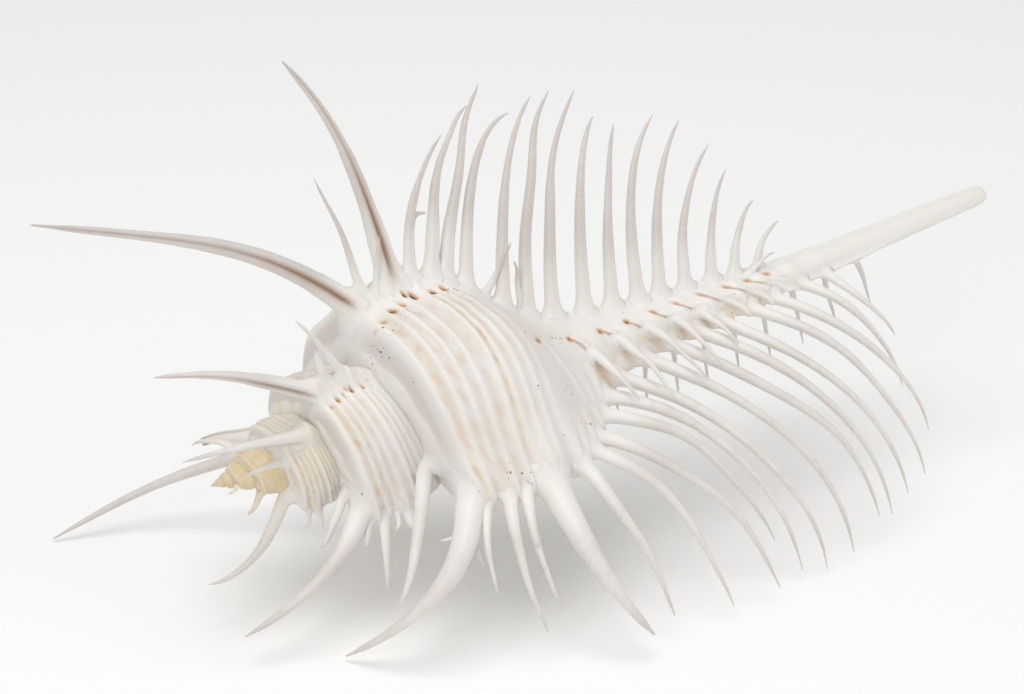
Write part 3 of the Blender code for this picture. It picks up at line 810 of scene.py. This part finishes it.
class Spine:
    """A grooved horn: its course, its cross-section and its small flaws."""

    def __init__(self, points, width, back, seed):
        self.points, self.width, self.back = points, width, back
        self.broken = back == BROKEN_AT
        noise = np.random.default_rng(seed)
        self.length = np.linalg.norm(points[1] - points[0]) + np.linalg.norm(points[2] - points[1])
        self.sway = noise.uniform(-1, 1, 2) * SWAY * self.length
        self.turns = noise.uniform(0.8, 1.7)
        self.phase = noise.uniform(0, TURN)
        self.steps = noise.uniform(0.2, 0.95, STEPS)
        self.flute = noise.uniform(0, TURN)
        self.groove = grown(GROOVE_DEPTH, float(smooth_step(*GROOVE_WIDTHS, width)))
        angle = math.radians(LIP_ANGLE + back)
        self.grow_side = np.array([0.0, -math.sin(angle), -math.cos(angle)])
        self.around = TURN * np.arange(SIDES) / SIDES
        nearest = np.minimum(self.around, TURN - self.around)
        self.in_groove = np.exp(-(nearest / GROOVE_HALF) ** 2)

    def heading(self, t):
        return unit(curve_point(self.points, t + 0.01) - curve_point(self.points, t))

    def half_width(self, t):
        """Half the thickness at t, with small steps where growth paused."""
        taper = TIP_PART + (1.0 - TIP_PART) * (1.0 - t) ** TAPER_BEND
        taper *= 1.0 - POINT_LOSS * float(smooth_step(POINT_STARTS, 1.0, t))
        if self.broken:
            taper = 1.0 - BROKEN_TAPER * t
        for step in self.steps:
            taper *= 1.0 + STEP_DROP * (0.5 - float(smooth_step(step - STEP_HALF, step + STEP_HALF, t)))
        return SHAFT * self.width * taper + FOOT_WIDENS * math.exp(-t * self.length / FOOT_WIDENS_OVER)

    def ring(self, t):
        along = self.heading(t)
        grow = unit(self.grow_side - along * self.grow_side.dot(along))
        side = np.cross(along, grow)
        wobble = math.sin(self.turns * TURN * t + self.phase) - math.sin(self.phase) * (1 - t)
        sway = (grow * self.sway[0] + side * self.sway[1]) * wobble * 4 * t * (1 - t)
        a = self.around
        shape = (1.0 - self.groove * self.in_groove) * (1.0 + 0.10 * np.sin(a) ** 2)
        shape = shape * (1.0 + 0.03 * np.sin(5 * a + self.flute) + 0.02 * np.sin(3 * a + 9 * t))
        offsets = np.outer(np.cos(a), grow) + np.outer(np.sin(a), side)
        return curve_point(self.points, t) + sway + offsets * (self.half_width(t) * shape)[:, None]

    def leaves_skin_at(self):
        steps = np.linspace(0.0, 0.6, 61)
        course = np.array([curve_point(self.points, t) for t in steps])
        above = height_over_skin(course, self.back) > 0.0
        return float(steps[np.argmax(above)]) if above.any() else 0.05

    def collar(self, start, first):
        """Rings that run out from the spine's first ring onto the skin, with a soft corner."""
        top = self.ring(first)
        down = np.linspace(0.0, 3.0 * (first - start) * self.length + 1.5, 26)
        lines = top[:, None, :] - self.heading(first) * down[None, :, None]
        height = height_over_skin(lines, self.back)
        below = height < 0.0
        stop = np.where(below.any(axis=1), np.argmax(below, axis=1), np.argmin(height, axis=1))
        corner = lines[np.arange(SIDES), stop]
        x0, _, back0 = about_axis(curve_point(self.points, start), self.back)
        x, radius, back = about_axis(corner, self.back)
        radius = skin_radius(x, back)
        corner = place(x, radius, LIP_ANGLE + back)
        dx, arc = x - x0, np.radians(back - back0) * radius
        away = np.maximum(np.hypot(dx, arc), 0.05)
        more = 1.0 + grown(COLLAR_FOOT, self.width) / away
        x, back = x0 + dx * more, back0 + (back - back0) * more
        out = place(x, skin_radius(x, back) - COLLAR_SKIN, LIP_ANGLE + back)
        rings = [place(x, skin_radius(x, back) - COLLAR_SUNK, LIP_ANGLE + back)]
        for part in COLLAR_PARTS:
            rings.append((1 - part) ** 2 * out + 2 * part * (1 - part) * corner + part ** 2 * top)
        return rings

    def faces(self, ring_count, closed):
        """Faces between the rings and round the tip, and one over the root if it is closed."""
        found = []
        following = [(i, (i + 1) % SIDES) for i in range(SIDES)]
        for a in range(0, (ring_count - 1) * SIDES, SIDES):
            b = a + SIDES
            found += [(a + i, a + j, b + j, b + i) for i, j in following]
        last = (ring_count - 1) * SIDES
        found += [(last + i, last + j, last + SIDES) for i, j in following]
        if closed:
            found.append(tuple(reversed(range(SIDES))))
        return found

    def mesh(self, has_collar=True):
        """Points, faces, how far along each point is, its depth in the groove, and the foot's mark."""
        first, rings, depth = 0.0, [], []
        if has_collar:
            start = self.leaves_skin_at()
            first = min(start + grown(COLLAR_TOP, self.width) / self.length, 0.5)
            rings = self.collar(start, first)
            depth = list(COLLAR_GROOVE)
        stations = [0.0] * len(rings)
        for k in range(RINGS):
            t = first + (0.995 - first) * (k / (RINGS - 1)) ** RING_CROWDING
            rings.append(self.ring(t))
            stations.append(t)
            depth.append(1.0)
        verts = np.concatenate(rings + [self.points[2][None, :]])
        along = np.append(np.repeat(stations, SIDES), 1.0)
        groove = np.outer(np.array(depth) * self.groove / GROOVE_DEEPEST, self.in_groove)
        groove = np.append(groove, 0.0)
        past = np.clip(along - first, 0.0, 1.0) * self.length
        foot = has_collar * (1.0 - smooth_step(0.0, grown(FOOT_MARK, self.width), past))
        return verts, self.faces(len(rings), closed=not has_collar), along, groove, foot


def spine_course(back, foot_x, middle, tip):
    """Root under the skin, middle and tip of a spine."""
    angle = LIP_ANGLE + back
    angle -= 360.0 * round((angle - 70.0) / 360.0)
    foot_r = max(surface_radius(foot_x, angle + 0.2) - FOOT_SUNK, LEAST_FOOT_R)
    middle, tip = (place(x, radius, angle + turn) for x, radius, turn in (middle, tip))
    return place(foot_x, foot_r, angle), middle, tip


def barbs_of(row_name, number, points, back):
    """The small side branches of one spine."""
    found = []
    out = place(0.0, 1.0, LIP_ANGLE + back) - place(0.0, 0.0, 0.0)
    for barb_row, barb_number, t, *bends in BARBS:
        if (barb_row, barb_number) == (row_name, number):
            root = curve_point(points, t)
            bend, tip = (root + np.array([x, 0.0, 0.0]) + r * out for x, r in bends)
            found.append(Spine((root, bend, tip), BARB_WIDTH, back, number).mesh(has_collar=False))
    return found


def spine_stain(spine, along, groove):
    """Brown at a broken end, and in the grooves of the long spines of some rows."""
    stain = spine.broken * BROKEN_STAIN * smooth_step(0.88, 0.96, along)
    if spine.width > STAINED_WIDTH and spine.back in GROOVE_STAINED:
        stain = stain + GROOVE_STAIN * groove * (1.0 - smooth_step(0.25, 0.60, along))
    return np.clip(stain, 0.0, 1.0)


def spine_row(name, rows, material):
    """All the spines of one comb in one mesh."""
    verts, faces = [], []
    marks = {}
    count = 0
    for back, spines in rows:
        yellow = SPINE_YELLOW * float(yellowing(back))
        for number, (foot_x, middle, tip, width) in enumerate(spines):
            points = spine_course(back, foot_x, middle, tip)
            seed = int(back) * 100 + number
            spine = Spine(points, width, back, seed)
            spread = TINT_SPREAD * np.random.default_rng(seed).uniform()
            tint = max(SPINE_TINT.get(back, USUAL_TINT) + spread, 0.0)
            barbs = barbs_of(name.split("_")[0], number, points, back)
            for v, f, along, groove, foot in [spine.mesh()] + barbs:
                verts.append(v)
                faces += [tuple(count + i for i in face) for face in f]
                count += len(v)
                here = {"tip": along, "foot": foot, "groove": groove, "tint": np.full(len(v), tint),
                        "yellow": np.full(len(v), yellow), "stain": spine_stain(spine, along, groove)}
                for mark, values in here.items():
                    marks.setdefault(mark, []).append(values)
    marks = {mark: np.concatenate(values) for mark, values in marks.items()}
    marks["pale"] = np.full(count, 1.0)
    new_piece(name, np.concatenate(verts), faces, marks, material)


class Nodes:
    """Adds and links shader nodes."""

    def __init__(self, name):
        self.material = bpy.data.materials.new(name)
        self.material.use_nodes = True
        self.tree = self.material.node_tree
        self.shader = self.tree.nodes["Principled BSDF"]

    def add(self, kind, **settings):
        node = self.tree.nodes.new(kind)
        for key, value in settings.items():
            setattr(node, key, value)
        return node

    def put(self, socket, value):
        """Set a socket to a number or a colour, or link another socket to it."""
        if isinstance(value, (int, float)):
            socket.default_value = value
        elif isinstance(value, tuple):
            socket.default_value = value + (1.0,)
        else:
            self.tree.links.new(value, socket)

    def fill(self, node, values):
        for socket, value in values.items():
            self.put(node.inputs[socket], value)

    def mark(self, name):
        return self.add("ShaderNodeAttribute", attribute_name=name).outputs["Fac"]

    def maths(self, operation, a, b):
        node = self.add("ShaderNodeMath", operation=operation)
        for socket, value in zip(node.inputs, (a, b)):
            self.put(socket, value)
        return node.outputs[0]

    def times(self, a, b):
        return self.maths("MULTIPLY", a, b)

    def plus(self, a, b):
        return self.maths("ADD", a, b)

    def noise(self, scale, detail=4.0, roughness=0.6):
        node = self.add("ShaderNodeTexNoise")
        where = self.add("ShaderNodeTexCoord").outputs["Object"]
        self.fill(node, {"Scale": scale, "Detail": detail, "Roughness": roughness, "Vector": where})
        return node.outputs["Fac"]

    def band(self, value, low, high):
        node = self.add("ShaderNodeMapRange", interpolation_type="SMOOTHSTEP")
        self.fill(node, {"Value": value, "From Min": low, "From Max": high})
        return node.outputs["Result"]

    def mix(self, factor, a, b):
        node = self.add("ShaderNodeMix", data_type="RGBA", clamp_factor=True)
        for socket, value in zip((node.inputs[0], node.inputs[6], node.inputs[7]), (factor, a, b)):
            self.put(socket, value)
        return node.outputs[2]

    def coat(self, colour, gloss_scale, smoothest, roughest, relief_scale, relief_detail, strength, depth):
        """Colour, uneven gloss, fine relief and a little light through the shell."""
        gloss, relief = self.add("ShaderNodeMapRange"), self.add("ShaderNodeBump")
        self.fill(gloss, {"Value": self.noise(gloss_scale), "To Min": smoothest, "To Max": roughest})
        self.fill(relief, {"Strength": strength, "Distance": depth,
                           "Height": self.noise(relief_scale, relief_detail)})
        self.fill(self.shader, {"Base Color": colour, "Roughness": gloss.outputs["Result"],
                                "Normal": relief.outputs["Normal"], "Subsurface Weight": 0.12,
                                "Subsurface Scale": 0.0012})
        self.shader.inputs["Subsurface Radius"].default_value = (1.0, 0.75, 0.55)


def skin_colour(m):
    """Warm white with cream clouds, and yellow on the first whorls."""
    clouded = m.maths("SUBTRACT", 1.0, m.times(m.mark("pale"), 0.75))
    cloud = m.times(m.band(m.noise(90.0, 5.0), 0.40, 0.75), clouded)
    colour = m.mix(cloud, WHITE, CREAM)
    mottled = m.plus(m.times(m.band(m.noise(700.0, 3.0), 0.3, 0.7), 0.5), 0.55)
    return m.mix(m.times(m.mark("yellow"), mottled), colour, YELLOW_CREAM)


def whorl_material():
    """The skin with its painted shade, tan bands and painted shadows between the canal's ribs, brown
    stains, dark pits and grains of dirt.
    """
    m = Nodes("murex_body")
    colour = m.mix(m.times(m.mark("shade"), 0.75), skin_colour(m), LILAC_GREY)
    fine = m.band(m.noise(420.0, 3.0), 0.35, 0.75)
    # The band mark holds the tan bands and the painted shadows between the canal's ribs
    band = m.times(m.mark("band"), m.plus(m.times(fine, 0.6), 0.5))
    colour = m.mix(m.times(band, 0.85), colour, TAN)
    colour = m.mix(m.times(m.mark("trail"), 0.75), colour, TRAIL_BROWN)
    ragged = m.times(m.mark("holes"), m.plus(m.noise(900.0, 3.0), 0.5))
    colour = m.mix(m.times(m.band(ragged, 0.04, 0.75), 0.85), colour, OCHRE)
    colour = m.mix(m.band(ragged, 0.62, 0.95), colour, DARK_BROWN)
    grain = m.plus(m.noise(2100.0, 1.0, 0.4), m.times(m.mark("dirt"), 0.15))
    colour = m.mix(m.times(m.band(grain, 0.79, 0.83), 0.9), colour, SPECK)
    colour = m.mix(m.times(m.mark("inside"), 0.5), colour, WHITE)
    m.coat(colour, gloss_scale=260.0, smoothest=0.30, roughest=0.55, relief_scale=1100.0,
           relief_detail=4.0, strength=0.35, depth=0.0003)
    return m.material


def spine_material():
    """Pale grey to taupe, the skin's colour at the foot, painted brown shade in the grooves, brown stains
    and greyer tips.
    """
    m = Nodes("murex_spines")
    colour = m.mix(m.band(m.noise(160.0), 0.35, 0.7), SPINE_PALE, SPINE_GREY)
    colour = m.mix(m.times(m.mark("tint"), 0.65), colour, SPINE_TAUPE)
    streak = m.band(m.noise(1500.0, 2.0), 0.5, 0.8)
    colour = m.mix(m.times(streak, 0.25), colour, SPINE_STREAK)
    colour = m.mix(m.mark("foot"), colour, skin_colour(m))
    # Painted shade in the grooves, darker where a groove is deeper
    colour = m.mix(m.times(m.mark("groove"), 0.55), colour, GROOVE_SHADE_BROWN)
    colour = m.mix(m.mark("stain"), colour, STAIN_BROWN)
    colour = m.mix(m.times(m.band(m.mark("tip"), 0.75, 1.0), 0.5), colour, TIP_GREY)
    m.coat(colour, gloss_scale=300.0, smoothest=0.30, roughest=0.50, relief_scale=1800.0,
           relief_detail=3.0, strength=0.3, depth=0.0002)
    return m.material


def make_stage():
    bpy.ops.mesh.primitive_plane_add(size=6.0, location=(0.0, 0.0, CAD_BOX[0][2] - 0.5 * MM))
    floor = bpy.context.object
    floor.name = "floor"
    m = Nodes("floor_white")
    m.fill(m.shader, {"Base Color": FLOOR_WHITE, "Roughness": 0.9, "Specular IOR Level": 0.1})
    floor.data.materials.append(m.material)


def make_lights():
    """Soft round lights that face the shell, and an even white sky."""
    for name, location, size, power in LIGHTS:
        data = bpy.data.lights.new(name, "AREA")
        data.shape = "DISK"
        data.size = size
        data.energy = power
        light = bpy.data.objects.new(name, data)
        light.location = location
        light.rotation_euler = (-Vector(location)).to_track_quat("-Z", "Y").to_euler()
        bpy.context.scene.collection.objects.link(light)
    world = bpy.data.worlds.new("studio")
    world.use_nodes = True
    sky = world.node_tree.nodes["Background"]
    sky.inputs["Color"].default_value = (1.0, 1.0, 1.0, 1.0)
    sky.inputs["Strength"].default_value = SKY
    bpy.context.scene.world = world
    bpy.context.scene.view_settings.view_transform = "Standard"


def make_camera():
    """The camera stands where the photograph was taken from."""
    swing, roll = math.radians(VIEW_SWING), math.radians(VIEW_ROLL)
    along, toward, up = Vector((1, 0, 0)), Vector((0, -1, 0)), Vector((0, 0, 1))
    out = math.cos(swing) * toward - math.sin(swing) * along
    level = math.cos(swing) * along + math.sin(swing) * toward
    right = math.cos(roll) * level - math.sin(roll) * up
    top = math.sin(roll) * level + math.cos(roll) * up
    aim = Vector((VIEW_AIM[0], 0.0, VIEW_AIM[1]))
    local = Matrix((right, top, out)).transposed().to_4x4()
    local.translation = (aim + VIEW_DISTANCE * out) * MM
    data = bpy.data.cameras.new("camera")
    data.lens = LENS
    data.sensor_width = SENSOR
    data.clip_start = 0.01
    camera = bpy.data.objects.new("camera", data)
    camera.matrix_world = rest_matrix() @ local
    bpy.context.scene.collection.objects.link(camera)
    bpy.context.scene.camera = camera


def main():
    body_look, spine_look = whorl_material(), spine_material()
    make_camera()
    make_last_whorl(body_look)
    make_spire(body_look)
    make_pillar(body_look)
    spine_row("upper_comb", [(CRESTS[1], UPPER_SPINES), SMALL_SPIKE], spine_look)
    spine_row("lip_comb", [(CRESTS[0], LIP_SPINES)], spine_look)
    spine_row("rear_comb", [(CRESTS[2], REAR_SPINES + rear_comb())], spine_look)
    spine_row("spire_spines", list(SPIRE_SPINES.items()), spine_look)
    spine_row("canal_spurs", [(SPUR_BACK, CANAL_SPURS)], spine_look)
    make_stage()
    make_lights()
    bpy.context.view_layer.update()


main()
